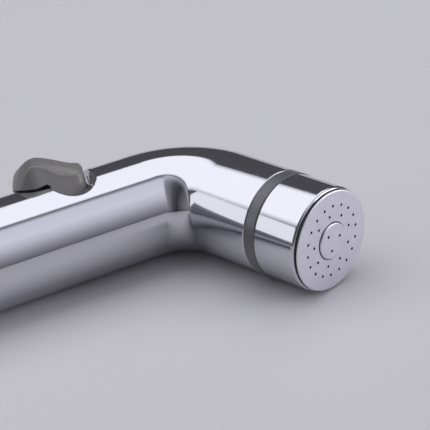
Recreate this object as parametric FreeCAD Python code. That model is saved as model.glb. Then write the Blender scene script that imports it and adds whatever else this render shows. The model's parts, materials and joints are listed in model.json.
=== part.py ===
import FreeCAD, Part
import math
import os

# Hand spray with a bent neck and a thumb trigger, in millimetres.
# X runs along the grip from the hose end to the bend, which starts at X = 0.
# The neck turns towards -Y.
# The trigger and the valve are drawn with the trigger straight up (+Z), then turned about the grip.
# The head is drawn about Z, from the neck's end at Z = 0 to the spray face, and then placed.
# The finished pieces are moved together so that the origin lies under the middle of their box.

V = FreeCAD.Vector

# Body: one bent tube
body_diameter = 26.0
body_wall = 1.4
grip_length = 108.0
bend_radius = 18.15
bend_angle = 73.0
neck_length = 16.7
body_edge_round = 0.25

# Scoop: a round trough across the grip, under the trigger's nose
scoop_radius = 6.6
scoop_depth = 5.0
scoop_from_bend = 18.0
scoop_edge_round = 0.8

# Trigger
trigger_tilt = 26.0
trigger_width = 11.0
trigger_travel = 7.0
trigger_corner = 0.9
trigger_crest_gap = 0.35
trigger_pressed_gap = 0.3
trigger_side_gap = 0.4
trigger_sink = 0.45
skirt_depth = 3.0
nose_undercut = 1.3
chin_drop = 0.4
foot_start = 5.5
foot_wall = 1.2
foot_pocket_depth = 4.0
rib_thickness = 2.0
pad_diameter = 4.8
opening_back_round = 0.4
opening_nose_round = 4.4
opening_nose_gap = 0.8
slot_back_gap = 0.5
# Stations along the trigger: distance from the scoop's middle, what a rounded end takes off each side,
# and the side edge and the crown above the grip's crest
trigger_stations = [
    (-12.8, 4.1, -0.8, -0.2),
    (-12.4, 3.0, 0.1, 0.8),
    (-11.4, 1.6, 2.0, 2.7),
    (-10.0, 0.5, 3.9, 4.7),
    (-8.3, 0.0, 4.7, 6.0),
    (-6.4, 0.0, 3.9, 6.55),
    (-4.6, 0.0, 2.5, 6.35),
    (-3.0, 0.0, 1.1, 5.7),
    (-1.0, 0.0, 0.1, 4.75),
    (1.0, 0.0, -0.35, 3.7),
    (2.6, 0.2, -0.6, 2.9),
    (3.9, 1.1, -0.7, 2.35),
    (4.7, 2.1, -0.8, 1.9),
    (5.0, 3.2, -0.9, 1.3),
]

# Pivot
pin_diameter = 2.0
pin_from_scoop = 9.2
pin_depth = 5.0
lug_width = 6.0
lug_eye_wall = 1.3
lug_back = 2.0
lug_root = 0.6
ear_thickness = 1.9
ear_eye_wall = 1.0
ear_mouth = 1.75
ear_lug_gap = 0.3
pin_press_gap = 0.01
pin_running_gap = 0.05

# Valve
valve_from_scoop = 1.5
spindle_diameter = 4.0
spindle_dome_radius = 5.0
spindle_pad_gap = 0.15
spindle_running_gap = 0.05
flange_diameter = 6.6
flange_thickness = 0.8
valve_washer_diameter = 7.0
valve_washer_thickness = 1.0
seat_bore_diameter = 5.2
seat_thickness = 1.0
upper_chamber_diameter = 8.0
upper_chamber_room = 0.2
lower_chamber_diameter = 9.0
gland_diameter = 10.0
gland_slot_width = 1.6
gland_slot_depth = 1.0
plug_thickness = 1.7
plug_slot_width = 1.4
plug_slot_depth = 0.7
plug_collar_thickness = 0.8
spring_diameter = 6.0
spring_wire = 0.6
spring_turns = 3
spring_end_gap = 0.05
block_gap = 0.1
block_behind_valve = 16.5
block_before_valve = 9.5
block_trigger_room = 1.25
duct_diameter = 3.4
duct_drop_from_valve = 7.5

# Water tubes
inlet_tube_diameter = 9.0
inlet_tube_wall = 1.5
outlet_tube_diameter = 7.0
outlet_tube_wall = 1.0
tube_socket_depth = 5.0
outlet_socket_depth = 4.0
tube_socket_gap = 0.05
tube_end_gap = 0.1

# Rubber rings
ring_cord = 0.88
ring_groove_depth = 0.95
ring_groove_width = 1.1
ring_gap = 0.02

# Head
neck_ring_length = 3.2
neck_ring_chamfer = 0.25
cap_step = 0.15
cap_length = 12.15
cap_wall = 1.45
cap_front_round = 0.7
cap_back_round = 0.25
plate_rim = 0.72
plate_rise = 1.05
plate_edge_round = 0.3
plate_spigot_depth = 1.15
plate_spigot_gap = 0.12
spray_hole_diameter = 0.72
outer_hole_circle = 17.54
outer_hole_count = 18
outer_hole_phase = 82.6
inner_hole_circle = 12.76
inner_hole_count = 9
inner_hole_phase = 92.7
plate_channel_inner = 11.2
plate_channel_outer = 19.2
disc_diameter = 9.2
disc_gap = 0.15
disc_rise = 0.45
disc_seat_depth = 1.05
disc_edge_round = 0.35
disc_roof = 1.2
disc_hole_circle = 4.82
disc_hole_count = 3
disc_hole_phase = 132.6
stem_diameter = 7.8
stem_wall = 0.8
stem_length = 5.0
core_gap = 0.1
core_wall = 1.2
core_back_thickness = 1.8
boss_wall = 1.45
boss_window_diameter = 3.0
boss_window_count = 4
spigot_length = 9.6
core_ring_from_end = 2.5
spigot_wall = 1.9
core_socket_wall = 1.5
gasket_thickness = 0.4

# Hose end
connector_flange_length = 3.0
connector_spigot_length = 10.0
connector_edge_round = 0.5
thread_diameter = 20.96
thread_length = 12.0
thread_chamfer = 0.8
mouth_diameter = 13.0
mouth_depth = 9.0
connector_bore_diameter = 6.0
filter_rim_depth = 2.0
filter_rim_thickness = 0.8
filter_cup_diameter = 9.6
filter_cup_length = 4.0
filter_wall = 0.4
filter_slot_width = 0.8
filter_slot_count = 12
filter_gap = 0.1
limiter_thickness = 2.0
limiter_hole_diameter = 3.0

# Sizes that follow
body_radius = body_diameter / 2
body_bore_radius = body_radius - body_wall
bend_turn = math.radians(bend_angle)
neck_axis = V(math.cos(bend_turn), -math.sin(bend_turn), 0)
bend_end = V(bend_radius * math.sin(bend_turn), bend_radius * (math.cos(bend_turn) - 1), 0)
neck_end = bend_end + neck_axis * neck_length

scoop_x = -scoop_from_bend
scoop_z = body_radius - scoop_depth + scoop_radius
scoop_floor = body_radius - scoop_depth
scoop_clear_radius = scoop_radius + body_wall
trigger_back_x = scoop_x + trigger_stations[0][0]
trigger_nose_x = scoop_x + trigger_stations[-1][0]

pin_radius = pin_diameter / 2
pin_x = scoop_x - pin_from_scoop
pin_z = body_radius - pin_depth
ear_inner = lug_width / 2 + ear_lug_gap
ear_outer = ear_inner + ear_thickness
lug_eye_radius = pin_radius + lug_eye_wall
trigger_underside = body_radius + trigger_crest_gap
foot_z = scoop_floor - trigger_sink
foot_x = scoop_x - foot_start

valve_x = scoop_x + valve_from_scoop
block_radius = body_bore_radius - block_gap
block_top = scoop_floor - body_wall - block_trigger_room
block_back_x = valve_x - block_behind_valve
block_front_x = valve_x + block_before_valve
chamber_top = duct_diameter / 2 + upper_chamber_room / 2
chamber_floor = -chamber_top
seat_z = chamber_floor - seat_thickness
washer_z = seat_z - valve_washer_thickness
flange_z = washer_z - flange_thickness
plug_radius = lower_chamber_diameter / 2
plug_bottom = -math.sqrt(block_radius ** 2 - plug_radius ** 2) + block_gap
plug_top = plug_bottom + plug_thickness
duct_low_z = (seat_z + plug_top) / 2
spindle_top = foot_z - spindle_pad_gap
spindle_radius = spindle_diameter / 2

inlet_tube_radius = inlet_tube_diameter / 2
outlet_tube_radius = outlet_tube_diameter / 2
connector_face_x = -grip_length
connector_spigot_x = connector_face_x + connector_spigot_length
thread_back_x = connector_face_x - connector_flange_length
thread_end_x = thread_back_x - thread_length
inlet_tube_start = connector_spigot_x - tube_socket_depth + tube_end_gap
inlet_tube_end = block_back_x + tube_socket_depth - tube_end_gap

cap_radius = body_radius - cap_step
cap_bore_radius = cap_radius - cap_wall
cap_start = neck_ring_length
cap_end = cap_start + cap_length
face_z = cap_end + plate_rise
plate_radius = cap_radius - plate_rim
spigot_step_radius = cap_bore_radius - plate_spigot_gap
plate_back = cap_end - plate_spigot_depth
core_front = plate_back - gasket_thickness
core_radius = cap_bore_radius - core_gap
core_chamber_radius = core_radius - core_wall
core_chamber_floor = cap_start + core_back_thickness
stem_radius = stem_diameter / 2
boss_bore_radius = stem_radius + core_gap / 2
boss_radius = boss_bore_radius + boss_wall
disc_radius = disc_diameter / 2
stem_end = face_z - disc_seat_depth - stem_length
spigot_radius = body_bore_radius - core_gap
spigot_bore_radius = spigot_radius - spigot_wall
spigot_end = -spigot_length
core_socket_radius = outlet_tube_radius + tube_socket_gap
core_socket_floor = spigot_end + outlet_socket_depth
core_passage_radius = outlet_tube_radius - outlet_tube_wall

tiny = 1e-4
extra = 1.0


# Round pieces
def lathe(outline):
    corners = [V(radius, 0, height) for radius, height in outline]
    face = Part.Face(Part.makePolygon(corners + corners[:1]))
    return face.revolve(V(0, 0, 0), V(0, 0, 1), 360)


def rod(radius, low, high):
    return Part.makeCylinder(radius, high - low, V(0, 0, low))


def rims(solid, radius, height):
    found = []
    for edge in solid.Edges:
        box = edge.BoundBox
        level = box.ZLength < tiny and abs(box.ZMin - height) < tiny
        if level and abs(box.XMax - radius) < tiny:
            found.append(edge)
    return found


def cord_ring(inner_radius, height):
    cord_radius = ring_cord / 2
    return Part.makeTorus(inner_radius + ring_gap + cord_radius, cord_radius, V(0, 0, height))


def groove_band(inner_radius, outer_radius, height):
    low = height - ring_groove_width / 2
    high = height + ring_groove_width / 2
    return rod(outer_radius, low, high).cut(rod(inner_radius, low, high))


def bore_groove(bore_radius, height):
    return groove_band(bore_radius - tiny, bore_radius + ring_groove_depth, height)


def outer_groove(radius, height):
    return groove_band(radius - ring_groove_depth, radius + tiny, height)


def ring_of(tool, count, phase):
    copies = []
    for index in range(count):
        copy = tool.copy()
        copy.rotate(V(0, 0, 0), V(0, 0, 1), phase + index * 360.0 / count)
        copies.append(copy)
    return copies


def spray_holes(circle, count, phase, low, high):
    hole = Part.makeCylinder(spray_hole_diameter / 2, high - low, V(circle / 2, 0, low))
    return ring_of(hole, count, phase)


# Places of the three groups
def on_grip(shape):
    shape.rotate(V(0, 0, 0), V(0, 1, 0), 90)
    return shape


def on_valve(shape):
    shape.translate(V(valve_x, 0, 0))
    return shape


def with_trigger(shape):
    shape.rotate(V(0, 0, 0), V(1, 0, 0), -trigger_tilt)
    return shape


def on_head(shape):
    across = V(-neck_axis.y, neck_axis.x, 0)
    turn = FreeCAD.Rotation(across, V(0, 0, 1), neck_axis, "ZYX")
    shape.Placement = FreeCAD.Placement(neck_end, turn).multiply(shape.Placement)
    return shape


# Body shell
def bent_rod(radius, grip_start, neck_reach):
    grip = Part.makeCylinder(radius, -grip_start, V(grip_start, 0, 0), V(1, 0, 0))
    section = Part.Face(Part.Wire(Part.makeCircle(radius, V(0, 0, 0), V(1, 0, 0))))
    bend = section.revolve(V(0, -bend_radius, 0), V(0, 0, 1), -bend_angle)
    neck = Part.makeCylinder(radius, neck_reach, bend_end, neck_axis)
    return grip.fuse([bend, neck]).removeSplitter()


def scoop_cylinder(radius):
    start = V(scoop_x, -body_diameter, scoop_z)
    return with_trigger(Part.makeCylinder(radius, 2 * body_diameter, start, V(0, 1, 0)))


def scoop_edges(solid):
    axis_point = V(scoop_x, 0, scoop_z)
    turn = FreeCAD.Rotation(V(1, 0, 0), trigger_tilt)
    found = []
    for edge in solid.Edges:
        middle = turn.multVec(edge.valueAt((edge.FirstParameter + edge.LastParameter) / 2))
        from_scoop = math.hypot(middle.x - axis_point.x, middle.z - axis_point.z)
        from_grip = math.hypot(middle.y, middle.z)
        if abs(from_scoop - scoop_radius) < 0.01 and abs(from_grip - body_radius) < 0.01:
            found.append(edge)
    return found


def end_edges(solid, centre, radius):
    found = []
    for edge in solid.Edges:
        if isinstance(edge.Curve, Part.Circle) and edge.Curve.Center.distanceToPoint(centre) < tiny:
            if abs(edge.Curve.Radius - radius) < tiny:
                found.append(edge)
    return found


def upright_edges(solid, x):
    found = []
    for edge in solid.Edges:
        box = edge.BoundBox
        if box.ZLength > body_radius and abs(box.XMin - x) < tiny and abs(box.XMax - x) < tiny:
            found.append(edge)
    return found


def trigger_openings():
    half_width = trigger_width / 2 + trigger_side_gap
    back_x = foot_x - trigger_side_gap
    front_x = trigger_nose_x + opening_nose_gap
    main = Part.makeBox(front_x - back_x, 2 * half_width, body_diameter, V(back_x, -half_width, 0))
    main = main.makeFillet(opening_nose_round, upright_edges(main, front_x))
    main = main.makeFillet(opening_back_round, upright_edges(main, back_x))
    slot_half = lug_width / 2 + trigger_side_gap
    slot_x = pin_x - lug_back - slot_back_gap
    slot = Part.makeBox(foot_x - slot_x, 2 * slot_half, body_diameter, V(slot_x, -slot_half, 0))
    return with_trigger(main.fuse(slot))


def make_body_shell():
    outer = bent_rod(body_radius, -grip_length, neck_length)
    outer = outer.cut(scoop_cylinder(scoop_radius))
    outer = outer.makeFillet(scoop_edge_round, scoop_edges(outer))
    for end in (V(-grip_length, 0, 0), neck_end):
        outer = outer.makeFillet(body_edge_round, end_edges(outer, end, body_radius))
    inner = bent_rod(body_bore_radius, -grip_length - extra, neck_length + extra)
    inner = inner.cut(scoop_cylinder(scoop_clear_radius))
    return outer.cut(inner).cut(trigger_openings())


# Trigger
def trigger_section(station, inset, edge_rise, crown_rise):
    half = trigger_width / 2 - inset
    corner = min(trigger_corner, half / 3)
    edge_z = body_radius + edge_rise
    crown_z = body_radius + crown_rise
    rise = crown_z - edge_z
    crown_radius = (rise ** 2 + half ** 2) / (2 * rise)
    centre_z = crown_z - crown_radius
    corner_y = half - corner
    corner_z = centre_z + math.sqrt((crown_radius - corner) ** 2 - corner_y ** 2)
    reach = crown_radius / (crown_radius - corner)
    lean = math.atan2(corner_z - centre_z, corner_y) / 2
    x = scoop_x + station
    low = V(x, half, 0)
    side = V(x, half, corner_z)
    turn = V(x, corner_y + corner * math.cos(lean), corner_z + corner * math.sin(lean))
    touch = V(x, corner_y * reach, centre_z + (corner_z - centre_z) * reach)
    crown = V(x, 0, crown_z)
    far_low, far_side, far_turn, far_touch = [V(p.x, -p.y, p.z) for p in (low, side, turn, touch)]
    edges = [
        Part.LineSegment(low, side).toShape(),
        Part.Arc(side, turn, touch).toShape(),
        Part.Arc(touch, crown, far_touch).toShape(),
        Part.Arc(far_touch, far_turn, far_side).toShape(),
        Part.LineSegment(far_side, far_low).toShape(),
        Part.LineSegment(far_low, low).toShape(),
    ]
    return Part.Wire(edges)


def trigger_side():
    skirt_z = body_radius - skirt_depth
    outline = [
        (trigger_back_x, skirt_z),
        (trigger_back_x, body_diameter),
        (trigger_nose_x, body_diameter),
        (trigger_nose_x, body_radius - chin_drop),
        (trigger_nose_x - nose_undercut, foot_z),
        (foot_x, foot_z),
        (foot_x, skirt_z),
    ]
    corners = [V(x, -trigger_width, z) for x, z in outline]
    return Part.Face(Part.makePolygon(corners + corners[:1])).extrude(V(0, 2 * trigger_width, 0))


# The grip's surface as the hump sees it, at rest and with the trigger pressed
def saddle_cuts():
    start = V(trigger_back_x - body_diameter, 0, 0)
    length = foot_x - start.x
    rest = Part.makeCylinder(trigger_underside, length, start, V(1, 0, 0))
    pressed = Part.makeCylinder(body_radius + trigger_pressed_gap, length, start, V(1, 0, 0))
    pressed.rotate(V(pin_x, 0, pin_z), V(0, 1, 0), -trigger_travel)
    corner = start - V(0, body_diameter, body_diameter)
    hump = Part.makeBox(length, 2 * body_diameter, 2 * body_diameter, corner)
    return [rest, pressed.common(hump)]


def trigger_lug():
    eye = Part.makeCylinder(lug_eye_radius, lug_width, V(pin_x, -lug_width / 2, pin_z), V(0, 1, 0))
    stalk_back = pin_x - lug_back
    stalk_length = foot_x + tiny - stalk_back
    stalk_height = trigger_underside + lug_root - pin_z
    stalk = Part.makeBox(stalk_length, lug_width, stalk_height, V(stalk_back, -lug_width / 2, pin_z))
    return eye.fuse(stalk)


def foot_pockets():
    back = foot_x + foot_wall
    length = trigger_nose_x - nose_undercut - 2 * foot_wall - back
    half = trigger_width / 2 - foot_wall
    pocket = Part.makeBox(length, 2 * half, foot_pocket_depth, V(back, -half, foot_z))
    rib = Part.makeBox(length, rib_thickness, foot_pocket_depth, V(back, -rib_thickness / 2, foot_z))
    pad = Part.makeCylinder(pad_diameter / 2, foot_pocket_depth, V(valve_x, 0, foot_z))
    return pocket.cut(rib.fuse(pad))


def make_trigger():
    sections = [trigger_section(*station) for station in trigger_stations]
    solid = Part.makeLoft(sections, True, False).common(trigger_side())
    for tool in saddle_cuts():
        solid = solid.cut(tool)
    solid = solid.fuse(trigger_lug()).cut(foot_pockets())
    eye = pin_radius + pin_press_gap
    solid = solid.cut(Part.makeCylinder(eye, body_diameter, V(pin_x, -body_radius, pin_z), V(0, 1, 0)))
    return with_trigger(solid.removeSplitter())


def make_trigger_pin():
    pin = Part.makeCylinder(pin_radius, 2 * ear_outer, V(pin_x, -ear_outer, pin_z), V(0, 1, 0))
    return with_trigger(pin.makeChamfer(pin_radius / 5, [pin.Edges[0], pin.Edges[2]]))


# Valve block with the two snap ears that hold the pin
def ear(side):
    radius = pin_radius + ear_eye_wall
    start = V(pin_x, ear_inner if side > 0 else -ear_outer, pin_z)
    top = Part.makeCylinder(radius, ear_thickness, start, V(0, 1, 0))
    low = V(pin_x - radius, start.y, block_top - extra)
    foot = Part.makeBox(2 * radius, ear_thickness, pin_z - low.z, low)
    return top.fuse(foot)


def pin_seats():
    start = V(pin_x, -body_radius, pin_z)
    seat = Part.makeCylinder(pin_radius + pin_running_gap, body_diameter, start, V(0, 1, 0))
    mouth = Part.makeBox(ear_mouth, body_diameter, body_radius, start - V(ear_mouth / 2, 0, 0))
    return seat.fuse(mouth)


def x_rod(radius, start, end, z):
    return Part.makeCylinder(radius, end - start, V(start, 0, z), V(1, 0, 0))


def make_valve_block():
    block = x_rod(block_radius, block_back_x, block_front_x, 0)
    corner = V(-grip_length, -body_radius, block_top)
    above = Part.makeBox(2 * grip_length, body_diameter, body_diameter, corner)
    block = block.cut(above)
    block = block.fuse([ear(1), ear(-1)]).cut(pin_seats())
    duct_radius = duct_diameter / 2
    inlet_socket_end = block_back_x + tube_socket_depth
    outlet_socket_start = block_front_x - outlet_socket_depth
    drop_x = valve_x - duct_drop_from_valve
    inlet_socket = inlet_tube_radius + tube_socket_gap
    outlet_socket = outlet_tube_radius + tube_socket_gap
    cuts = [
        x_rod(inlet_socket, block_back_x - extra, inlet_socket_end, 0),
        x_rod(duct_radius, inlet_socket_end - extra, drop_x, 0),
        Part.makeSphere(duct_radius, V(drop_x, 0, 0)),
        Part.makeCylinder(duct_radius, -duct_low_z, V(drop_x, 0, duct_low_z)),
        Part.makeSphere(duct_radius, V(drop_x, 0, duct_low_z)),
        x_rod(duct_radius, drop_x, valve_x, duct_low_z),
        x_rod(duct_radius, valve_x, outlet_socket_start + extra, 0),
        x_rod(outlet_socket, outlet_socket_start, block_front_x + extra, 0),
        on_grip(bore_groove(inlet_socket, block_back_x + tube_socket_depth / 2)),
        on_grip(bore_groove(outlet_socket, block_front_x - outlet_socket_depth / 2)),
        on_valve(rod(gland_diameter / 2 + block_gap / 2, chamber_top, block_top + extra)),
        on_valve(rod(upper_chamber_diameter / 2, chamber_floor, chamber_top + extra)),
        on_valve(rod(seat_bore_diameter / 2, seat_z - extra, chamber_floor + extra)),
        on_valve(rod(plug_radius + block_gap / 2, -body_radius, seat_z)),
    ]
    for tool in cuts:
        block = block.cut(tool)
    return with_trigger(block)


def make_gland_nut():
    nut = rod(gland_diameter / 2, chamber_top, block_top)
    nut = nut.cut(rod(spindle_radius + spindle_running_gap, chamber_top - extra, block_top + extra))
    pocket_top = chamber_top + ring_groove_width
    pocket_radius = spindle_radius + ring_groove_depth + spindle_running_gap
    nut = nut.cut(rod(pocket_radius, chamber_top - extra, pocket_top))
    corner = V(-gland_slot_width / 2, -gland_diameter / 2, block_top - gland_slot_depth)
    slot = Part.makeBox(gland_slot_width, gland_diameter, gland_slot_depth + extra, corner)
    return with_trigger(on_valve(nut.cut(slot)))


def make_spindle_o_ring():
    ring = cord_ring(spindle_radius + spindle_running_gap, chamber_top + ring_groove_width / 2)
    return with_trigger(on_valve(ring))


def make_valve_spindle():
    stem = rod(spindle_radius, flange_z, spindle_top)
    dome = Part.makeSphere(spindle_dome_radius, V(0, 0, spindle_top - spindle_dome_radius))
    below_dome = rod(spindle_radius + extra, flange_z - extra, spindle_top - spindle_dome_radius)
    long_dome = dome.fuse(below_dome)
    stem = stem.common(long_dome)
    flange = rod(flange_diameter / 2, flange_z, washer_z)
    return with_trigger(on_valve(stem.fuse(flange).removeSplitter()))


def make_valve_washer():
    washer = rod(valve_washer_diameter / 2, washer_z, seat_z)
    bore = rod(spindle_radius + ring_gap, washer_z - extra, seat_z + extra)
    return with_trigger(on_valve(washer.cut(bore)))


def arc_from(start, tangent, reach, end):
    apex = start + tangent * reach
    middle = (start + end) * 0.5
    half_chord = (end - start).Length / 2
    height = (apex - middle).Length
    bulge = half_chord * math.tan(math.atan2(height, half_chord) / 2)
    return Part.Arc(start, middle + (apex - middle) * (bulge / height), end).toShape()


def helix_path(radius, pitch, turns, low):
    def point(angle):
        climb = pitch * angle / (2 * math.pi)
        return V(radius * math.cos(angle), radius * math.sin(angle), low + climb)

    def heading(angle):
        direction = V(-radius * math.sin(angle), radius * math.cos(angle), pitch / (2 * math.pi))
        return direction.normalize()

    edges = []
    quarter = math.pi / 2
    for index in range(4 * turns):
        first = point(index * quarter)
        last = point((index + 1) * quarter)
        out = heading(index * quarter)
        back = heading((index + 1) * quarter)
        span = last - first
        along = span.dot(out + back)
        bend = 2 * (1 - out.dot(back))
        reach = (-along + math.sqrt(along ** 2 + bend * span.dot(span))) / bend
        joint = (first + out * reach + last - back * reach) * 0.5
        edges.append(arc_from(first, out, reach, joint))
        edges.append(arc_from(joint, (last - back * reach - joint).normalize(), reach, last))
    return Part.Wire(edges)


def make_valve_spring():
    wire_radius = spring_wire / 2
    low = plug_top + spring_end_gap + wire_radius
    high = flange_z - spring_end_gap - wire_radius
    pitch = (high - low) / spring_turns
    radius = spring_diameter / 2 - wire_radius
    path = helix_path(radius, pitch, spring_turns, low)
    start = V(radius, 0, low)
    section = Part.Wire(Part.makeCircle(wire_radius, start, V(0, radius, pitch / (2 * math.pi))))
    coil = path.makePipeShell([section], True, True)
    return with_trigger(on_valve(coil))


def make_valve_plug():
    plug = rod(plug_radius, plug_bottom, plug_top - plug_collar_thickness)
    collar = rod(plug_radius - ring_groove_depth, plug_bottom, plug_top)
    plug = plug.fuse(collar)
    corner = V(-plug_radius, -plug_slot_width / 2, plug_bottom - extra)
    slot = Part.makeBox(lower_chamber_diameter, plug_slot_width, plug_slot_depth + extra, corner)
    return with_trigger(on_valve(plug.cut(slot).removeSplitter()))


def make_plug_o_ring():
    height = plug_top - plug_collar_thickness + ring_cord / 2 + ring_gap
    return with_trigger(on_valve(cord_ring(plug_radius - ring_groove_depth, height)))


# Water tubes and their rings
def make_inlet_tube():
    outer = rod(inlet_tube_radius, inlet_tube_start, inlet_tube_end)
    bore = rod(inlet_tube_radius - inlet_tube_wall, inlet_tube_start - extra, inlet_tube_end + extra)
    return on_grip(outer.cut(bore))


def make_outlet_tube():
    start = block_front_x - outlet_socket_depth + tube_end_gap
    reach = neck_length + core_socket_floor - tube_end_gap
    outer = bent_rod(outlet_tube_radius, start, reach)
    bore_radius = outlet_tube_radius - outlet_tube_wall
    return outer.cut(bent_rod(bore_radius, start - extra, reach + extra))


def make_inlet_rings():
    socket = inlet_tube_radius + tube_socket_gap
    at_connector = on_grip(cord_ring(socket, connector_spigot_x - tube_socket_depth / 2))
    at_block = on_grip(cord_ring(socket, block_back_x + tube_socket_depth / 2))
    return at_connector, at_block


def make_outlet_rings():
    socket = outlet_tube_radius + tube_socket_gap
    at_block = on_grip(cord_ring(socket, block_front_x - outlet_socket_depth / 2))
    at_core = on_head(cord_ring(socket, spigot_end + outlet_socket_depth / 2))
    return at_block, at_core


# Head
def make_neck_ring():
    ring = rod(body_radius, 0, neck_ring_length)
    both_rims = rims(ring, body_radius, 0) + rims(ring, body_radius, neck_ring_length)
    ring = ring.makeChamfer(neck_ring_chamfer, both_rims)
    return on_head(ring.cut(rod(body_bore_radius, -extra, neck_ring_length + extra)))


def make_head_cap():
    cap = rod(cap_radius, cap_start, cap_end)
    cap = cap.makeFillet(cap_front_round, rims(cap, cap_radius, cap_end))
    cap = cap.makeFillet(cap_back_round, rims(cap, cap_radius, cap_start))
    return on_head(cap.cut(rod(cap_bore_radius, cap_start - extra, cap_end + extra)))


def make_face_plate():
    disc_hole = disc_radius + disc_gap
    stem_hole = stem_radius + core_gap
    seat = face_z - disc_seat_depth
    plate = rod(plate_radius, cap_end, face_z)
    plate = plate.makeFillet(plate_edge_round, rims(plate, plate_radius, face_z))
    plate = plate.fuse(rod(spigot_step_radius, plate_back, cap_end)).removeSplitter()
    channel = rod(plate_channel_outer / 2, plate_back - extra, cap_end)
    channel = channel.cut(rod(plate_channel_inner / 2, plate_back - extra, cap_end))
    cuts = [rod(disc_hole, seat, face_z + extra), rod(stem_hole, plate_back - extra, face_z), channel]
    high = face_z + extra
    cuts += spray_holes(outer_hole_circle, outer_hole_count, outer_hole_phase, plate_back, high)
    cuts += spray_holes(inner_hole_circle, inner_hole_count, inner_hole_phase, plate_back, high)
    return on_head(plate.cut(cuts))


def make_centre_disc():
    seat = face_z - disc_seat_depth
    top = face_z + disc_rise
    disc = rod(disc_radius, seat, top)
    disc = disc.makeFillet(disc_edge_round, rims(disc, disc_radius, top))
    disc = disc.fuse(rod(stem_radius, stem_end, seat)).removeSplitter()
    cuts = [rod(stem_radius - stem_wall, stem_end - extra, top - disc_roof)]
    high = top + extra
    cuts += spray_holes(disc_hole_circle, disc_hole_count, disc_hole_phase, stem_end, high)
    return on_head(disc.cut(cuts))


def make_plate_gasket():
    ring = rod(core_radius, core_front, plate_back)
    return on_head(ring.cut(rod(core_chamber_radius, core_front - extra, plate_back + extra)))


def make_spray_core():
    body = lathe([
        (core_passage_radius, core_socket_floor - tiny),
        (core_socket_radius, core_socket_floor - tiny),
        (core_socket_radius, spigot_end),
        (core_socket_radius + core_socket_wall, spigot_end),
        (core_socket_radius + core_socket_wall, 0),
        (spigot_bore_radius, 0),
        (spigot_bore_radius, spigot_end),
        (spigot_radius, spigot_end),
        (spigot_radius, 0),
        (core_radius, 0),
        (core_radius, core_front),
        (core_chamber_radius, core_front),
        (core_chamber_radius, core_chamber_floor),
        (boss_radius, core_chamber_floor),
        (boss_radius, plate_back),
        (boss_bore_radius, plate_back),
        (boss_bore_radius, stem_end - core_gap),
        (core_passage_radius, stem_end - core_gap),
    ])
    window_z = (core_chamber_floor + stem_end - core_gap) / 2
    window_radius = boss_window_diameter / 2
    window = Part.makeCylinder(window_radius, boss_radius + extra, V(0, 0, window_z), V(1, 0, 0))
    body = body.cut(ring_of(window, boss_window_count, 0))
    body = body.cut(outer_groove(spigot_radius, spigot_end + core_ring_from_end))
    body = body.cut(bore_groove(core_socket_radius, spigot_end + outlet_socket_depth / 2))
    return on_head(body)


def make_core_o_ring():
    return on_head(cord_ring(spigot_radius - ring_groove_depth, spigot_end + core_ring_from_end))


# Hose end
def make_inlet_connector():
    spigot = body_bore_radius - core_gap
    solid = rod(thread_diameter / 2, thread_end_x, connector_face_x)
    solid = solid.makeChamfer(thread_chamfer, rims(solid, thread_diameter / 2, thread_end_x))
    flange = rod(body_radius, thread_back_x, connector_face_x)
    flange = flange.makeFillet(connector_edge_round, rims(flange, body_radius, thread_back_x))
    solid = solid.fuse([flange, rod(spigot, connector_face_x, connector_spigot_x)]).removeSplitter()
    socket_floor = connector_spigot_x - tube_socket_depth
    socket = inlet_tube_radius + tube_socket_gap
    cuts = [
        rod(mouth_diameter / 2, thread_end_x - extra, thread_end_x + mouth_depth),
        rod(connector_bore_diameter / 2, thread_end_x, connector_spigot_x),
        rod(socket, socket_floor, connector_spigot_x + extra),
        bore_groove(socket, connector_spigot_x - tube_socket_depth / 2),
        outer_groove(spigot, connector_face_x + connector_spigot_length / 2),
    ]
    for tool in cuts:
        solid = solid.cut(tool)
    return on_grip(solid)


def make_connector_o_ring():
    inner = body_bore_radius - core_gap - ring_groove_depth
    return on_grip(cord_ring(inner, connector_face_x + connector_spigot_length / 2))


def make_flow_limiter():
    floor = thread_end_x + mouth_depth
    disc = rod(mouth_diameter / 2 - filter_gap, floor - limiter_thickness, floor)
    hole = rod(limiter_hole_diameter / 2, floor - limiter_thickness - extra, floor + extra)
    return on_grip(disc.cut(hole))


def make_inlet_filter():
    rim_top = thread_end_x + filter_rim_depth
    rim_end = rim_top + filter_rim_thickness
    cup_radius = filter_cup_diameter / 2
    cup_end = rim_end + filter_cup_length
    rim = rod(mouth_diameter / 2 - filter_gap, rim_top, rim_end)
    cup = rim.fuse(rod(cup_radius, rim_end, cup_end)).removeSplitter()
    cup = cup.cut(rod(cup_radius - filter_wall, rim_top - extra, cup_end - filter_wall))
    slot_length = filter_cup_length - 4 * filter_wall
    corner = V(0, -filter_slot_width / 2, rim_end + filter_wall)
    slot = Part.makeBox(cup_radius + extra, filter_slot_width, slot_length, corner)
    return on_grip(cup.cut(ring_of(slot, filter_slot_count, 0)))


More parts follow.
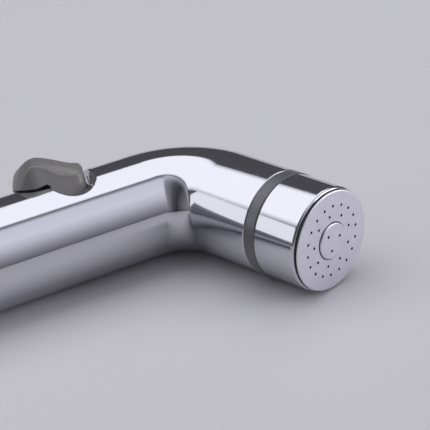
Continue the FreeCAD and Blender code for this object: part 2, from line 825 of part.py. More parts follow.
# All pieces
def make_pieces():
    inlet_ring_connector, inlet_ring_block = make_inlet_rings()
    outlet_ring_block, outlet_ring_core = make_outlet_rings()
    return {
        "body_shell": make_body_shell(),
        "neck_ring": make_neck_ring(),
        "head_cap": make_head_cap(),
        "face_plate": make_face_plate(),
        "centre_disc": make_centre_disc(),
        "plate_gasket": make_plate_gasket(),
        "spray_core": make_spray_core(),
        "core_o_ring": make_core_o_ring(),
        "trigger": make_trigger(),
        "trigger_pin": make_trigger_pin(),
        "valve_block": make_valve_block(),
        "gland_nut": make_gland_nut(),
        "spindle_o_ring": make_spindle_o_ring(),
        "valve_spindle": make_valve_spindle(),
        "valve_washer": make_valve_washer(),
        "valve_spring": make_valve_spring(),
        "valve_plug": make_valve_plug(),
        "plug_o_ring": make_plug_o_ring(),
        "inlet_tube": make_inlet_tube(),
        "outlet_tube": make_outlet_tube(),
        "inlet_ring_connector": inlet_ring_connector,
        "inlet_ring_block": inlet_ring_block,
        "outlet_ring_block": outlet_ring_block,
        "outlet_ring_core": outlet_ring_core,
        "inlet_connector": make_inlet_connector(),
        "connector_o_ring": make_connector_o_ring(),
        "flow_limiter": make_flow_limiter(),
        "inlet_filter": make_inlet_filter(),
    }


def main():
    pieces = make_pieces()
    box = Part.makeCompound(list(pieces.values())).optimalBoundingBox(False)
    shift = V(-box.Center.x, -box.Center.y, -box.ZMin)
    os.makedirs("parts", exist_ok=True)
    for name, shape in pieces.items():
        shape.translate(shift)
        shape.exportStep("parts/" + name + ".step")
        print(name, "solids", len(shape.Solids), "volume", round(shape.Volume, 2))
    turn = FreeCAD.Rotation(V(1, 0, 0), -trigger_tilt)
    print("shift", shift)
    print("size", box.XLength, box.YLength, box.ZLength)
    print("trigger hinge at", turn.multVec(V(pin_x, 0, pin_z)) + shift)
    print("trigger hinge axis", turn.multVec(V(0, 1, 0)))
    print("trigger travel", trigger_travel)
    print("spindle axis", turn.multVec(V(0, 0, -1)))
    print("spindle travel per radian", valve_x - pin_x)
    print("spring seat", turn.multVec(V(valve_x, 0, plug_top)) + shift)
    print("hose end", V(thread_end_x, 0, 0) + shift)
    print("spray face", neck_end + neck_axis * face_z + shift)


main()
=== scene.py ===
import json
import math

import bmesh
import bpy
from mathutils import Matrix, Vector


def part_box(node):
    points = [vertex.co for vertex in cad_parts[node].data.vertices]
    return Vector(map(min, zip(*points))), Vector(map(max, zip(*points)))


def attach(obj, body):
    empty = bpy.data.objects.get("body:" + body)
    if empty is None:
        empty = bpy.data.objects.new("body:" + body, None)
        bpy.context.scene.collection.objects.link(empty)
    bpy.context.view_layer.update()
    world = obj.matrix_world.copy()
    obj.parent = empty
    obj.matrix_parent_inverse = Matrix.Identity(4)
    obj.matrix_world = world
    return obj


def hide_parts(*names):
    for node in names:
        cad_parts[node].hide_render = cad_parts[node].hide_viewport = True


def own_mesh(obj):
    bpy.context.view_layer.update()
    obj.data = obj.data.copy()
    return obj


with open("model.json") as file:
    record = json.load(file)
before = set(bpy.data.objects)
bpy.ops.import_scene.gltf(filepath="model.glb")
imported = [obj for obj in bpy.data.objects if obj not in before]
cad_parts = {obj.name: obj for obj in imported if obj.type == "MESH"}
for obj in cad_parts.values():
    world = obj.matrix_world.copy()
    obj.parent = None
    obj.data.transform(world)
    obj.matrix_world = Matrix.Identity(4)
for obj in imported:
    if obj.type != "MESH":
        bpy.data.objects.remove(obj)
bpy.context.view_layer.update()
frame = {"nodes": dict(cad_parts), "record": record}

nodes = frame["nodes"]
scene = bpy.context.scene
mm = 0.001
print("frame loaded:", len(nodes), "nodes")

# Where the grip's axis and the start of the bend lie: the connector is round the axis, and its inner end
# stands connectorToBend short of the bend
connectorToBend = 98 * mm
connectorLow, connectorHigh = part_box("inlet_connector")
gripAxis = (connectorLow + connectorHigh) / 2
bendStart = Vector((connectorHigh.x + connectorToBend, gripAxis.y, gripAxis.z))


# Colours and nodes
def hexColour(code):
    channels = [int(code[i:i + 2], 16) / 255 for i in (1, 3, 5)]
    linear = [c / 12.92 if c <= 0.04045 else ((c + 0.055) / 1.055) ** 2.4 for c in channels]
    return (*linear, 1.0)


def addNode(tree, kind, settings={}, inputs={}):
    node = tree.nodes.new(kind)
    for name, value in settings.items():
        setattr(node, name, value)
    for name, value in inputs.items():
        if isinstance(value, bpy.types.NodeSocket):
            tree.links.new(value, node.inputs[name])
        else:
            node.inputs[name].default_value = value
    return node


def newMaterial(name):
    material = bpy.data.materials.new(name)
    material.use_nodes = True
    tree = material.node_tree
    tree.nodes.clear()
    shader = addNode(tree, "ShaderNodeBsdfPrincipled")
    output = addNode(tree, "ShaderNodeOutputMaterial")
    tree.links.new(shader.outputs["BSDF"], output.inputs["Surface"])
    place = addNode(tree, "ShaderNodeTexCoord").outputs["Object"]
    return material, tree, shader, place


def perMetre(sizeInMm):
    return 1 / (sizeInMm * mm)  # a texture's scale when one feature is that wide


# Bright chrome plating, over moulded ABS on the body and over turned brass on the hose connector. It is
# buffed first, so it mirrors the room with a slight cool cast. It keeps a very shallow waviness from what is
# under it, a breath of haze and hairline wipe marks. The hairlines are drawn coarser than real ones, so that
# they show
chromePlatingLook = {
    "colour": "#CBCBD1", "roughness": 0.04, "waveMm": 11.0, "waveHeightMm": 0.0009,
    "hazeMm": 3.0, "hazeAmount": 0.05, "hazeFrom": 0.4, "hazeTo": 0.75,
    "hairMm": 0.25, "hairStretch": 30.0, "hairAmount": 0.06, "hairFrom": 0.55, "hairTo": 0.8,
}


def makeChromePlating(name, look=chromePlatingLook):
    material, tree, shader, place = newMaterial(name)
    haze = addNode(tree, "ShaderNodeTexNoise", inputs={
        "Vector": place, "Scale": perMetre(look["hazeMm"]), "Detail": 4.0})
    hazy = addNode(tree, "ShaderNodeMapRange", inputs={
        "Value": haze.outputs["Fac"], "From Min": look["hazeFrom"], "From Max": look["hazeTo"],
        "To Min": look["roughness"], "To Max": look["roughness"] + look["hazeAmount"]})
    along = addNode(tree, "ShaderNodeMapping", inputs={
        "Vector": place, "Scale": (1 / look["hairStretch"], 1.0, 1.0)})
    hair = addNode(tree, "ShaderNodeTexNoise", inputs={
        "Vector": along.outputs["Vector"], "Scale": perMetre(look["hairMm"]), "Detail": 2.0})
    marked = addNode(tree, "ShaderNodeMapRange", inputs={
        "Value": hair.outputs["Fac"], "From Min": look["hairFrom"], "From Max": look["hairTo"],
        "To Min": 0.0, "To Max": look["hairAmount"]})
    roughness = addNode(tree, "ShaderNodeMath", {"operation": "ADD"}, {
        0: hazy.outputs["Result"], 1: marked.outputs["Result"]})
    wave = addNode(tree, "ShaderNodeTexNoise", inputs={
        "Vector": place, "Scale": perMetre(look["waveMm"]), "Detail": 1.0})
    bump = addNode(tree, "ShaderNodeBump", inputs={
        "Height": wave.outputs["Fac"], "Distance": look["waveHeightMm"] * mm, "Strength": 1.0})
    shader.inputs["Base Color"].default_value = hexColour(look["colour"])
    shader.inputs["Metallic"].default_value = 1.0
    tree.links.new(roughness.outputs[0], shader.inputs["Roughness"])
    tree.links.new(bump.outputs["Normal"], shader.inputs["Normal"])
    return material


# Moulded ABS, warm mid grey from a tool with a fine spark-eroded grain for the trigger: a satin skin with a
# broad soft highlight and none that is sharp. The ring is a darker, cooler grey from a smoother tool, so its
# sheen is tighter. smoother and rougher say how far the roughness strays from patch to patch
greyAbsLooks = {
    "greyGrainedAbs": {
        "colour": "#7C7B78", "spot": "#72716E", "spotMm": 3.0, "roughness": 0.38, "smoother": 0.05,
        "rougher": 0.08, "grainMm": 0.3, "grainHeightMm": 0.01, "specular": 1.0},
    "greyPolishedAbs": {
        "colour": "#5F5F64", "spot": "#525257", "spotMm": 1.2, "roughness": 0.3, "smoother": 0.05,
        "rougher": 0.08, "grainMm": 0.22, "grainHeightMm": 0.004, "specular": 1.0},
}


def makeGreyAbs(name):
    look = greyAbsLooks[name]
    material, tree, shader, place = newMaterial(name)
    cloud = addNode(tree, "ShaderNodeTexNoise", inputs={
        "Vector": place, "Scale": perMetre(look["spotMm"]), "Detail": 4.0})
    colour = addNode(tree, "ShaderNodeMix", {"data_type": "RGBA"}, {
        "Factor": cloud.outputs["Fac"], "A": hexColour(look["colour"]), "B": hexColour(look["spot"])})
    grain = addNode(tree, "ShaderNodeTexNoise", inputs={
        "Vector": place, "Scale": perMetre(look["grainMm"]), "Detail": 2.0})
    bump = addNode(tree, "ShaderNodeBump", inputs={
        "Height": grain.outputs["Fac"], "Distance": look["grainHeightMm"] * mm, "Strength": 1.0})
    roughness = addNode(tree, "ShaderNodeMapRange", inputs={
        "Value": cloud.outputs["Fac"], "To Min": look["roughness"] - look["smoother"],
        "To Max": look["roughness"] + look["rougher"]})
    shader.inputs["Specular IOR Level"].default_value = look["specular"]
    tree.links.new(colour.outputs["Result"], shader.inputs["Base Color"])
    tree.links.new(roughness.outputs["Result"], shader.inputs["Roughness"])
    tree.links.new(bump.outputs["Normal"], shader.inputs["Normal"])
    return material


# Stainless sheet with a bead-blasted satin face: pale and even, with a fine sparkle of grain and a slow
# cloud. The grain is drawn coarser than the blast's grit, so that it shows
satinSteelLook = {"colour": "#E9E7F1", "cloud": "#DEDCE6", "cloudMm": 2.4, "roughness": 0.34, "grainMm": 0.32,
                  "grainHeightMm": 0.011, "grainRoughness": 0.12}


def makeSatinSteel(look=satinSteelLook):
    material, tree, shader, place = newMaterial("satinStainless")
    cloud = addNode(tree, "ShaderNodeTexNoise", inputs={
        "Vector": place, "Scale": perMetre(look["cloudMm"]), "Detail": 5.0})
    colour = addNode(tree, "ShaderNodeMix", {"data_type": "RGBA"}, {
        "Factor": cloud.outputs["Fac"], "A": hexColour(look["colour"]), "B": hexColour(look["cloud"])})
    grain = addNode(tree, "ShaderNodeTexNoise", inputs={
        "Vector": place, "Scale": perMetre(look["grainMm"]), "Detail": 3.0})
    roughness = addNode(tree, "ShaderNodeMapRange", inputs={
        "Value": grain.outputs["Fac"], "To Min": look["roughness"],
        "To Max": look["roughness"] + look["grainRoughness"]})
    bump = addNode(tree, "ShaderNodeBump", inputs={
        "Height": grain.outputs["Fac"], "Distance": look["grainHeightMm"] * mm, "Strength": 1.0})
    shader.inputs["Metallic"].default_value = 1.0
    tree.links.new(colour.outputs["Result"], shader.inputs["Base Color"])
    tree.links.new(roughness.outputs["Result"], shader.inputs["Roughness"])
    tree.links.new(bump.outputs["Normal"], shader.inputs["Normal"])
    return material


# Plain finishes of the parts inside, and the painted shade on the spray face: colour, metallic, roughness,
# and their grain's size and height in mm
insideLooks = {
    "naturalAcetal": ("#DAD9D3", 0.0, 0.42, 0.5, 0.003),  # moulded, faintly translucent white
    "extrudedPolyethylene": ("#D5D8D6", 0.0, 0.3, 1.5, 0.002),  # smooth milky tube with soft ripples
    "nitrileRubber": ("#17171A", 0.0, 0.6, 0.2, 0.004),  # black moulded rings with a dull bloom
    "turnedBrass": ("#C9A45A", 1.0, 0.28, 0.25, 0.003),  # lathe-turned, warm, with a light tool texture
    "drawnStainless": ("#C4C4C8", 1.0, 0.25, 0.4, 0.001),  # spring wire and pins
    # Near-black punched steel: its dark colour is painted shade inside the holes, on the rim's wall and in
    # the gap round the disc
    "punchedSteelPaintedShade": ("#2A2A2E", 0.6, 0.55, 0.15, 0.004),  # raw walls of holes and rim, in their own shade
}
insideRoughnessSpread = 0.06


def makeInside(name):
    colour, metallic, roughness, grainMm, grainHeightMm = insideLooks[name]
    material, tree, shader, place = newMaterial(name)
    grain = addNode(tree, "ShaderNodeTexNoise", inputs={
        "Vector": place, "Scale": perMetre(grainMm), "Detail": 2.0})
    rough = addNode(tree, "ShaderNodeMapRange", inputs={
        "Value": grain.outputs["Fac"], "To Min": roughness - insideRoughnessSpread,
        "To Max": roughness + insideRoughnessSpread})
    bump = addNode(tree, "ShaderNodeBump", inputs={
        "Height": grain.outputs["Fac"], "Distance": grainHeightMm * mm, "Strength": 1.0})
    shader.inputs["Base Color"].default_value = hexColour(colour)
    shader.inputs["Metallic"].default_value = metallic
    tree.links.new(rough.outputs["Result"], shader.inputs["Roughness"])
    tree.links.new(bump.outputs["Normal"], shader.inputs["Normal"])
    return material


slotMaterials = {
    "chrome_plate": makeChromePlating("chromePlatedAbs"),
    "connector_chrome": makeChromePlating("chromePlatedBrass"),
    "grey_plastic": makeGreyAbs("greyGrainedAbs"),
    "satin_steel": makeSatinSteel(),
    "white_plastic": makeInside("naturalAcetal"),
    "tube_plastic": makeInside("extrudedPolyethylene"),
    "seal_rubber": makeInside("nitrileRubber"),
    "brass": makeInside("turnedBrass"),
    "stainless": makeInside("drawnStainless"),
}
for part in frame["record"]["subparts"]:
    node = nodes[part["node"]]
    node.data.materials.clear()
    node.data.materials.append(slotMaterials[part["material_slot"]])
nodes["neck_ring"].data.materials[0] = makeGreyAbs("greyPolishedAbs")
print("materials set")

# Trigger: the CAD trigger's form in a fine even mesh. Its top falls more straightly from the crown to the
# sides, the crease there is crisper, and the nose's top corner is squarer. Lengths in mm, along the grip from
# the scoop's middle and out from the grip's crest; tilt is how far the trigger leans from upright, in degrees
triggerLook = {
    "scoopFromBend": 18.0, "gripRadius": 13.0, "tilt": 26.0, "voxel": 0.09, "smooths": 6,
    "slopePower": 1.45, "topFadeBelow": 0.2, "topFade": 0.5,
    "creaseSize": 0.75, "creaseOut": 0.09, "creaseSlant": 0.7, "fullCreaseRise": 1.5,
    "noseFrom": 2.2, "noseTo": 5.0, "noseRise": 0.2, "noseLean": 0.3, "noseMiddle": 0.8, "noseReach": 1.6,
    # place along, half width, crease height, crown height
    "sections": [(-12.8, 1.4, -0.8, -0.2), (-12.4, 2.5, 0.1, 0.8), (-11.4, 3.9, 2.0, 2.7),
                 (-10.0, 5.0, 3.9, 4.7), (-8.3, 5.5, 4.7, 6.0), (-6.4, 5.5, 3.9, 6.55),
                 (-4.6, 5.5, 2.5, 6.35), (-3.0, 5.5, 1.1, 5.7), (-1.0, 5.5, 0.1, 4.75),
                 (1.0, 5.5, -0.35, 3.7), (2.6, 5.3, -0.6, 2.9), (3.9, 4.4, -0.7, 2.35),
                 (4.7, 3.4, -0.8, 1.9), (5.0, 2.3, -0.9, 1.3)],
}


# Half width, crease height and crown height between two sections
def sectionAt(x, sections):
    for low, high in zip(sections, sections[1:]):
        if x <= high[0]:
            break
    share = min(max((x - low[0]) / (high[0] - low[0]), 0), 1)
    return [a + (b - a) * share for a, b in zip(low[1:], high[1:])]


# The CAD node's shape in small even facets, a little relaxed
def evenCopy(nodeName, pieceName, voxel, smooths):
    piece = bpy.data.objects.new(pieceName, nodes[nodeName].data.copy())
    scene.collection.objects.link(piece)
    remesh = piece.modifiers.new("even", "REMESH")
    remesh.mode = "VOXEL"
    remesh.voxel_size = voxel * mm
    relax = piece.modifiers.new("relax", "SMOOTH")
    relax.iterations = smooths
    evaluated = piece.evaluated_get(bpy.context.evaluated_depsgraph_get())
    mesh = bpy.data.meshes.new_from_object(evaluated)
    piece.modifiers.clear()
    piece.data = mesh
    mesh.polygons.foreach_set("use_smooth", [True] * len(mesh.polygons))
    return piece


def makeTrigger(look=triggerLook):
    piece = evenCopy("trigger", "thumbTrigger", look["voxel"], look["smooths"])
    tilt = math.radians(look["tilt"])
    across = Vector((0, math.cos(tilt), -math.sin(tilt)))
    out = Vector((0, math.sin(tilt), math.cos(tilt)))
    start = bendStart - Vector((look["scoopFromBend"] * mm, 0, 0))
    for vertex in piece.data.vertices:
        place = (vertex.co - start) / mm
        x, y, z = place.x, place.dot(across), place.dot(out) - look["gripRadius"]
        half, crease, crown = sectionAt(x, look["sections"])
        rise, aside = crown - crease, min(abs(y) / half, 1)
        onTop = min(max((z - crease + look["topFadeBelow"]) / look["topFade"], 0), 1)
        lift = rise * (aside ** 2 - aside ** look["slopePower"]) * onTop
        toCrease = math.hypot(abs(y) - half, z - crease) / look["creaseSize"]
        corner = look["creaseOut"] * math.exp(-toCrease ** 2)
        corner *= 1 if rise > look["fullCreaseRise"] else rise / look["fullCreaseRise"]
        nose = min(max((x - look["noseFrom"]) / (look["noseTo"] - look["noseFrom"]), 0), 1)
        lift += look["noseRise"] * nose ** 2 * onTop + corner * look["creaseSlant"]
        sideways = math.copysign(corner * look["creaseSlant"], y)
        leverArm = min(max(z - look["noseMiddle"], -look["noseReach"]), look["noseReach"])
        forward = look["noseLean"] * nose ** 2 * leverArm
        vertex.co += (Vector((forward, 0, 0)) + across * sideways + out * lift) * mm
    piece.data.materials.clear()
    piece.data.materials.append(slotMaterials["grey_plastic"])
    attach(piece, "trigger_lever")
    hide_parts("trigger")


makeTrigger()
print("trigger made")


# A piece of the scene that starts as the CAD node's own shape
def ownCopy(nodeName, pieceName):
    piece = bpy.data.objects.new(pieceName, nodes[nodeName].data.copy())
    scene.collection.objects.link(piece)
    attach(piece, "body")
    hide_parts(nodeName)
    return piece


def makeSpring():
    piece = ownCopy("valve_spring", "returnSpring")
    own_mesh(piece)


makeSpring()
print("return spring made")

# Spray face: the plate reaches out almost to the cap's edge, painted shade darkens its holes and the wall of
# its rim, and a thin gap with painted shade on its floor runs round the centre disc. Radii and heights in mm,
# the heights from the neck's end, and bendTurn in degrees
headLook = {
    "bendRadius": 18.15, "bendTurn": 73.0, "neckLength": 16.7, "faceHeight": 16.4,
    "plateEdge": 11.6, "plateFrom": 15.3, "plateGrow": 0.29, "plateBack": 0.09,
    "discEdge": 4.2, "discFrom": 15.31, "discSeat": 15.36, "discShrink": 0.07,
    "holesWithin": 9.4, "discHolesWithin": 3.2, "stemBore": 3.3,
    "underFace": 0.1, "underRim": 0.3, "underSeat": 0.2, "wallLean": 0.5,
}
turned = math.radians(headLook["bendTurn"])
neckAxis = Vector((math.cos(turned), -math.sin(turned), 0))
bendEnd = Vector((math.sin(turned), math.cos(turned) - 1, 0)) * headLook["bendRadius"]
neckEnd = bendStart + (bendEnd + neckAxis * headLook["neckLength"]) * mm


# Points past that radius and height go outward by grow, and towards the neck by back
def growRound(piece, fromRadius, fromHeight, grow, back=0.0):
    for vertex in piece.data.vertices:
        place = (vertex.co - neckEnd) / mm
        height = place.dot(neckAxis)
        outward = place - neckAxis * height
        if outward.length > fromRadius and height > fromHeight:
            vertex.co += (outward.normalized() * grow - neckAxis * back) * mm


# Painted shade: the walls of the holes and of the rim get the dark material. A wall's normal leans less than
# wallLean along the neck's axis. The floors of the gap round the disc and of its stem's bore get the painted
# shade too
def darkenHoles(piece, material, look=headLook):
    piece.data.materials.append(material)
    for face in piece.data.polygons:
        place = (face.center - neckEnd) / mm
        height = place.dot(neckAxis)
        radius = (place - neckAxis * height).length
        wall = abs(face.normal.dot(neckAxis)) < look["wallLean"]
        below = height < look["faceHeight"] - look["underFace"] and radius < look["holesWithin"]
        rim = wall and radius > look["plateEdge"] and height < look["faceHeight"] - look["underRim"]
        discHole = wall and radius < look["discHolesWithin"]
        inGap = height > look["discSeat"] - look["underSeat"] or radius < look["stemBore"]
        if rim or discHole or (below and (wall or inGap)):
            face.material_index = 1


# Painted shade for the holes, the rim's wall and the gap round the disc
paintedHoleShade = makeInside("punchedSteelPaintedShade")
facePlate = ownCopy("face_plate", "sprayPlate")
growRound(facePlate, headLook["plateEdge"], headLook["plateFrom"], headLook["plateGrow"],
          headLook["plateBack"])
darkenHoles(facePlate, paintedHoleShade)
centreDisc = ownCopy("centre_disc", "sprayDisc")
growRound(centreDisc, headLook["discEdge"], headLook["discFrom"], -headLook["discShrink"])
darkenHoles(centreDisc, paintedHoleShade)
print("spray face made")

# Hose connector with its pipe thread cut: G1/2, 14 turns to the inch, flanks at about 55 degrees to each
# other, rounded crests. Lengths in mm, places along the grip from the start of the bend, angles in degrees
connectorLook = {
    "steps": 144, "rows": 110, "sharpAngle": 35, "threadFrom": -123.0, "threadTo": -111.0,
    "pitch": 1.814, "cutDepth": 1.162, "crestRadius": 10.48, "chamfer": 0.8, "runOut": 1.3,
    "crestShare": 0.13, "flankShare": 0.74, "straightShare": 0.6,
    "flangeRadius": 13.0, "flangeRound": 0.5, "flangeRoundSteps": 6,
    "mouthRadius": 6.5, "mouthDepth": 9, "mouthChamfer": 0.4, "boreRadius": 3.0,
    # place along and radius: the spigot in the grip up to the flange, and the tube's socket, each with the
    # groove for its O-ring
    "spigot": [(-98, 4.55), (-98, 11.3), (-98.2, 11.5), (-102.45, 11.5), (-102.45, 10.55),
               (-103.55, 10.55), (-103.55, 11.5), (-108, 11.5), (-108, 13.0)],
    "socket": [(-103, 3.0), (-103, 4.55), (-101.05, 4.55), (-101.05, 5.5), (-99.95, 5.5), (-99.95, 4.55)],
}


def threadRadius(x, angle, look=connectorLook):
    turn = ((x - look["threadFrom"]) / look["pitch"] - angle / (2 * math.pi)) % 1
    flank = min(max((abs(turn - 0.5) * 2 - look["crestShare"]) / look["flankShare"], 0), 1)
    straight = look["straightShare"]
    rounded = flank * straight + (1 - straight) * flank * flank * (3 - 2 * flank)
    fade = min((look["threadTo"] - x) / look["runOut"], 1)
    chamfer = look["crestRadius"] - look["chamfer"] + (x - look["threadFrom"])
    return min(look["crestRadius"] - look["cutDepth"] * rounded * fade, chamfer)


def makeConnector(look=connectorLook):
    low, high, rows = look["threadFrom"], look["threadTo"], look["rows"]
    thread = [(high + (low - high) * row / rows, None) for row in range(rows + 1)]  # radius by the helix
    edge, edgeSteps = look["flangeRound"], look["flangeRoundSteps"]
    flange = [(high + edge - edge * math.sin(turn), look["flangeRadius"] - edge + edge * math.cos(turn))
              for turn in (math.radians(90 / edgeSteps * step) for step in range(edgeSteps + 1))]
    lip, inner, bottom = look["mouthChamfer"], look["mouthRadius"], low + look["mouthDepth"]
    mouth = [(low, inner + lip), (low + lip, inner), (bottom, inner), (bottom, look["boreRadius"])]
    outline = look["spigot"] + flange + thread + mouth + look["socket"]
    count = len(outline)
    corners, faces = [], []
    for step in range(look["steps"]):
        angle = 2 * math.pi * step / look["steps"]
        for x, radius in outline:
            reach = threadRadius(x, angle) if radius is None else radius
            corners.append(bendStart + Vector((x, reach * math.cos(angle), reach * math.sin(angle))) * mm)
        here, after = step * count, (step + 1) % look["steps"] * count
        for index in range(count):
            following = (index + 1) % count
            faces.append((here + index, here + following, after + following, after + index))
    mesh = bpy.data.meshes.new("hoseConnector")
    mesh.from_pydata(corners, [], faces)
    skin = bmesh.new()
    skin.from_mesh(mesh)
    bmesh.ops.recalc_face_normals(skin, faces=skin.faces)
    skin.to_mesh(mesh)
    skin.free()
    mesh.polygons.foreach_set("use_smooth", [True] * len(mesh.polygons))
    mesh.set_sharp_from_angle(angle=math.radians(look["sharpAngle"]))
    mesh.materials.append(slotMaterials["connector_chrome"])
    piece = bpy.data.objects.new("hoseConnector", mesh)
    scene.collection.objects.link(piece)
    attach(piece, "body")
    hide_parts("inlet_connector")


makeConnector()
print("hose connector made")

# Camera: place in mm from the start of the bend, view direction and roll in degrees, the lens, its sensor and
# the nearest distance that it sees in mm
cameraView = {"placeMm": (-155.94, -342.95, 193.40), "turn": 27.13, "down": 27.74, "roll": -5.60,
              "lens": 142.33, "sensor": 36, "nearest": 10}


def makeCamera(view=cameraView):
    camera = bpy.data.objects.new("photoCamera", bpy.data.cameras.new("photoCamera"))
    scene.collection.objects.link(camera)
    camera.location = bendStart + Vector(view["placeMm"]) * mm
    turn = Matrix.Rotation(math.radians(-view["turn"]), 4, "Z")
    tilt = Matrix.Rotation(math.radians(90 - view["down"]), 4, "X")
    roll = Matrix.Rotation(math.radians(view["roll"]), 4, "Z")
    camera.matrix_world = Matrix.Translation(camera.location) @ turn @ tilt @ roll
    camera.data.lens = view["lens"]
    camera.data.sensor_width = view["sensor"]
    camera.data.clip_start = view["nearest"] * mm
    scene.camera = camera


makeCamera()
print("camera set")

# Stage: a floor of pale painted board, matte and even, one large softbox overhead and a little behind, two
# small ones low at the sides, and a soft sky round the grip's axis, dark behind and pale lavender in front.
# Sizes in metres
stageLook = {"floorColour": "#D9D9DA", "floorSize": 2.6, "floorRoughness": 0.55, "floorShine": 0.25}
# White diffuser cloth that is brighter in the middle: the share of its half size at which the fade starts,
# and the brightness that is left at its edge
diffuserLook = {"tint": "#FAF9FF", "acrossFrom": 0.84, "alongFrom": 0.72, "edgeBrightness": 0.45}
softboxLooks = {
    "overheadSoftbox": {"centre": (0.0, 0.296, 0.86), "width": 2.2, "height": 0.87, "radiance": 1.38},
    "rightSoftbox": {"centre": (1.0, -0.55, 0.34), "width": 0.76, "height": 0.5, "radiance": 3.8},
    "leftSoftbox": {"centre": (-1.0, 0.34, 0.34), "width": 0.56, "height": 0.56, "radiance": 1.15},
}
# Angle from the back horizon over the top to the front one in degrees, with the sky's brightness there: first
# for what the grip mirrors, then for what the bend and neck mirror
skyLook = {
    "tint": "#F4F2FF",
    "overGrip": [(-20, 0.08), (30, 0.11), (90, 0.13), (100, 0.28), (107, 1.0), (132, 1.05), (142, 0.92),
                 (152, 0.74), (161, 0.52), (171, 0.34), (180, 0.2)],
    "overBend": [(-20, 0.07), (36, 0.14), (98.2, 0.14), (99.8, 0.85), (103, 0.75), (112, 0.42),
                 (122, 0.34), (152, 0.36), (171, 0.3), (180, 0.2)],
    # how far to the right a direction points, from -1 to 1: overGrip comes in and goes out again there
    "gripFrom": 0.04, "gripTo": 0.14, "gripEnd": 0.5, "gripLast": 0.62,
    # the same measure, with the share of overBend that is left; it only counts in front
    "across": [(-1.0, 0.9), (-0.8, 0.5), (-0.55, 0.17), (-0.3, 0.35), (0.0, 1.0)],
    "frontFrom": 90.0, "frontTo": 112.0,
}


def makeFloor(look=stageLook):
    material, _, shader, _ = newMaterial("mattePaintedBoard")
    shader.inputs["Base Color"].default_value = hexColour(look["floorColour"])
    shader.inputs["Roughness"].default_value = look["floorRoughness"]
    shader.inputs["Specular IOR Level"].default_value = look["floorShine"]
    half = look["floorSize"] / 2
    mesh = bpy.data.meshes.new("floor")
    corners = [(-half, -half, 0), (half, -half, 0), (half, half, 0), (-half, half, 0)]
    mesh.from_pydata(corners, [], [(0, 1, 2, 3)])
    floor = bpy.data.objects.new("floor", mesh)
    scene.collection.objects.link(floor)
    mesh.materials.append(material)


def makeSoftbox(name, look):
    light = bpy.data.lights.new(name, "AREA")
    light.shape = "RECTANGLE"
    light.size = look["width"]
    light.size_y = look["height"]
    light.energy = look["radiance"] * math.pi * look["width"] * look["height"]  # a sheet of that radiance
    light.color = hexColour(diffuserLook["tint"])[:3]
    lamp = bpy.data.objects.new(name, light)
    lamp.location = look["centre"]
    lamp.rotation_mode = "QUATERNION"
    lamp.rotation_quaternion = (-lamp.location).to_track_quat("-Z", "Y")
    lamp.visible_camera = False
    scene.collection.objects.link(lamp)
    light.use_nodes = True
    tree = light.node_tree
    geometry = addNode(tree, "ShaderNodeNewGeometry")
    parts = addNode(tree, "ShaderNodeSeparateXYZ", inputs={"Vector": geometry.outputs["Parametric"]})
    fades = []
    for axis, start in (("X", diffuserLook["alongFrom"]), ("Y", diffuserLook["acrossFrom"])):
        offset = addNode(tree, "ShaderNodeMath", {"operation": "SUBTRACT"}, {0: parts.outputs[axis], 1: 0.5})
        fromMiddle = addNode(tree, "ShaderNodeMath", {"operation": "ABSOLUTE"}, {0: offset.outputs["Value"]})
        fade = addNode(tree, "ShaderNodeMapRange", {"interpolation_type": "SMOOTHSTEP"}, {
            "Value": fromMiddle.outputs["Value"], "From Min": start / 2, "From Max": 0.5, "To Min": 1.0,
            "To Max": diffuserLook["edgeBrightness"]})
        fades.append(fade.outputs["Result"])
    strength = addNode(tree, "ShaderNodeMath", {"operation": "MULTIPLY"}, {0: fades[0], 1: fades[1]})
    tree.links.new(strength.outputs["Value"], tree.nodes["Emission"].inputs["Strength"])


def brightnessRamp(tree, value, stops):
    lowest, highest = stops[0][0], stops[-1][0]
    along = addNode(tree, "ShaderNodeMapRange", inputs={
        "Value": value, "From Min": lowest, "From Max": highest})
    ramp = addNode(tree, "ShaderNodeValToRGB", inputs={"Fac": along.outputs["Result"]})
    elements = ramp.color_ramp.elements
    for index, (at, brightness) in enumerate(stops):
        position = (at - lowest) / (highest - lowest)
        if index == 0:
            stop = elements[0]
        elif index == len(stops) - 1:
            stop = elements[-1]
        else:
            stop = elements.new(position)
        stop.position = position
        stop.color = (brightness, brightness, brightness, 1.0)
    return ramp.outputs["Color"]


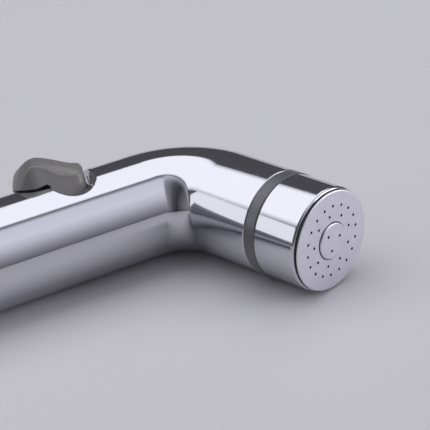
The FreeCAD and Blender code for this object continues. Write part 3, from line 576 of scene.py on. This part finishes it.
def makeSky(look=skyLook):
    world = bpy.data.worlds.new("studioSky")
    world.use_nodes = True
    tree = world.node_tree
    tree.nodes.clear()
    direction = addNode(tree, "ShaderNodeTexCoord").outputs["Generated"]
    part = addNode(tree, "ShaderNodeSeparateXYZ", inputs={"Vector": direction})
    angle = addNode(tree, "ShaderNodeMath", {"operation": "ARCTAN2"}, {
        0: part.outputs["Z"], 1: part.outputs["Y"]})
    degrees = addNode(tree, "ShaderNodeMath", {"operation": "DEGREES"}, {0: angle.outputs[0]}).outputs[0]
    overGrip = brightnessRamp(tree, degrees, look["overGrip"])
    overBend = brightnessRamp(tree, degrees, look["overBend"])
    across = brightnessRamp(tree, part.outputs["X"], look["across"])
    inFront = addNode(tree, "ShaderNodeMapRange", inputs={
        "Value": degrees, "From Min": look["frontFrom"], "From Max": look["frontTo"]}).outputs["Result"]
    side = addNode(tree, "ShaderNodeMix", {"data_type": "RGBA"}, {
        "Factor": inFront, "A": (1.0, 1.0, 1.0, 1.0), "B": across}).outputs["Result"]
    shaded = addNode(tree, "ShaderNodeMix", {"data_type": "RGBA", "blend_type": "MULTIPLY"}, {
        "Factor": 1.0, "A": overBend, "B": side}).outputs["Result"]
    grips = addNode(tree, "ShaderNodeMapRange", inputs={
        "Value": part.outputs["X"], "From Min": look["gripFrom"],
        "From Max": look["gripTo"]}).outputs["Result"]
    pastGrip = addNode(tree, "ShaderNodeMapRange", inputs={
        "Value": part.outputs["X"], "From Min": look["gripLast"],
        "From Max": look["gripEnd"]}).outputs["Result"]
    overWhich = addNode(tree, "ShaderNodeMath", {"operation": "MULTIPLY"}, {
        0: grips, 1: pastGrip}).outputs[0]
    sky = addNode(tree, "ShaderNodeMix", {"data_type": "RGBA"}, {
        "Factor": overWhich, "A": shaded, "B": overGrip}).outputs["Result"]
    tinted = addNode(tree, "ShaderNodeMix", {"data_type": "RGBA", "blend_type": "MULTIPLY"}, {
        "Factor": 1.0, "A": sky, "B": hexColour(look["tint"])}).outputs["Result"]
    background = addNode(tree, "ShaderNodeBackground", inputs={"Color": tinted, "Strength": 1.0})
    output = addNode(tree, "ShaderNodeOutputWorld")
    tree.links.new(background.outputs["Background"], output.inputs["Surface"])
    scene.world = world


makeFloor()
for name, look in softboxLooks.items():
    makeSoftbox(name, look)
makeSky()
scene.view_settings.view_transform = "Standard"
print("stage set")
